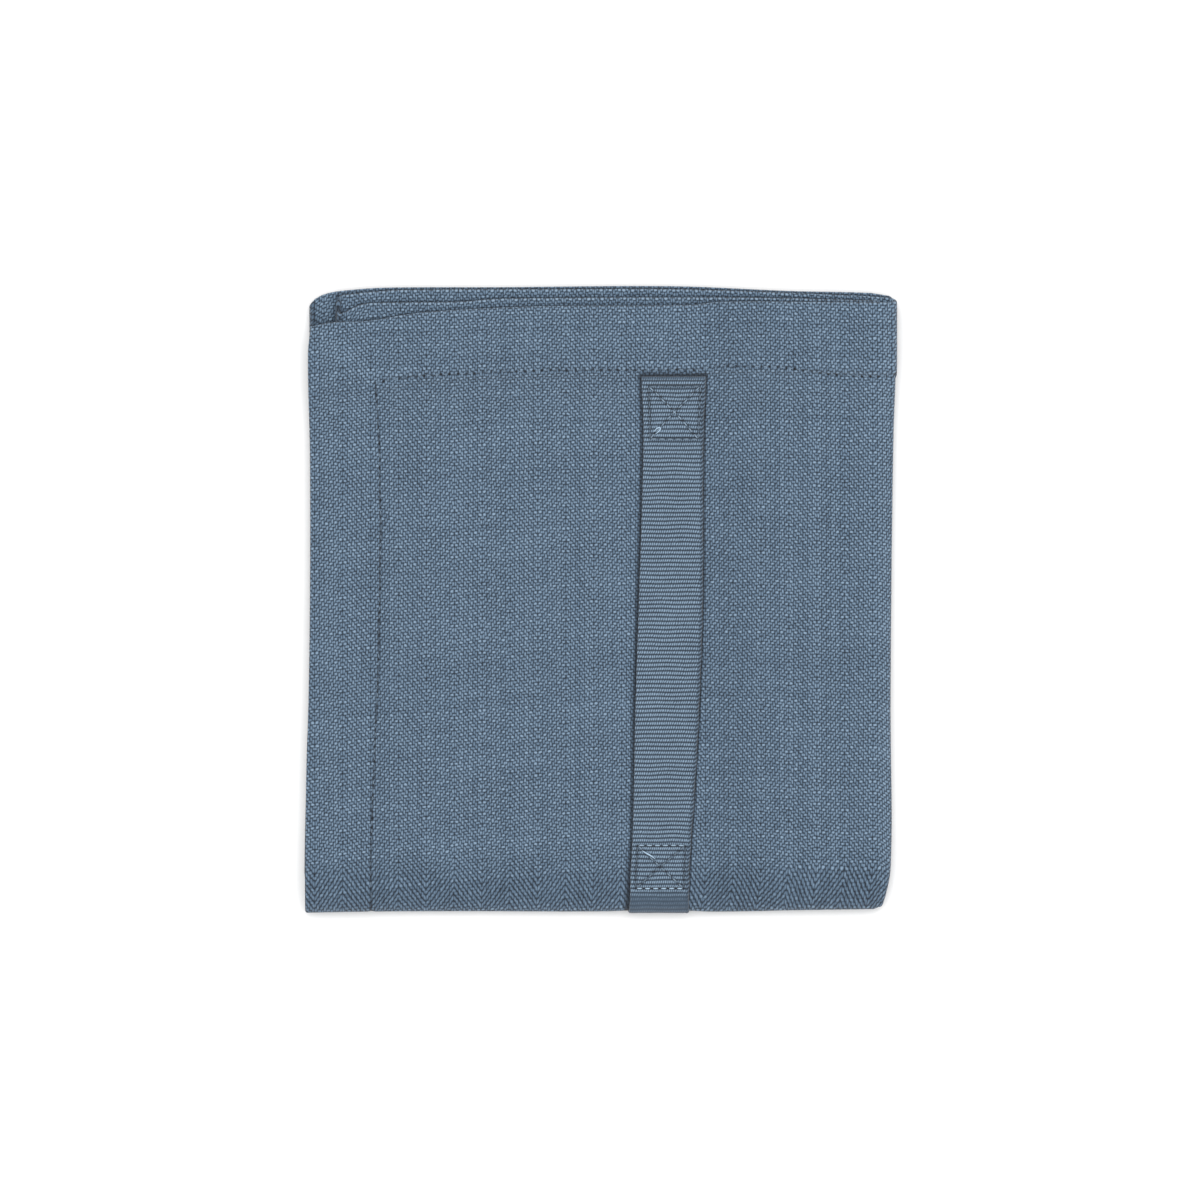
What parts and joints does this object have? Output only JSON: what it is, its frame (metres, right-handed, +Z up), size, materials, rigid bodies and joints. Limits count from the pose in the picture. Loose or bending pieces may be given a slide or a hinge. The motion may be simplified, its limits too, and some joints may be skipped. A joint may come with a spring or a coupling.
{
  "type": "folded dish towel",
  "caption": "Herringbone cotton dish towel folded in thirds and in half, with wide sewn hems and a ribbed hanging tape down its face.",
  "frame": {"origin": "under the middle of the folded towel, on the surface that it lies on", "axes": "+Z up through the stack of layers, +Y along the tape towards the hemmed edges, +X towards the side fold"},
  "size_m": [0.2343, 0.2484, 0.0138],
  "materials": {
    "cotton_cloth": "matt grey-blue herringbone cotton",
    "cotton_tape": "matt grey-blue ribbed cotton tape"
  },
  "bodies": {
    "root": {"towel_cloth": "cotton_cloth", "hanging_tape": "cotton_tape"}
  },
  "joints": []
}
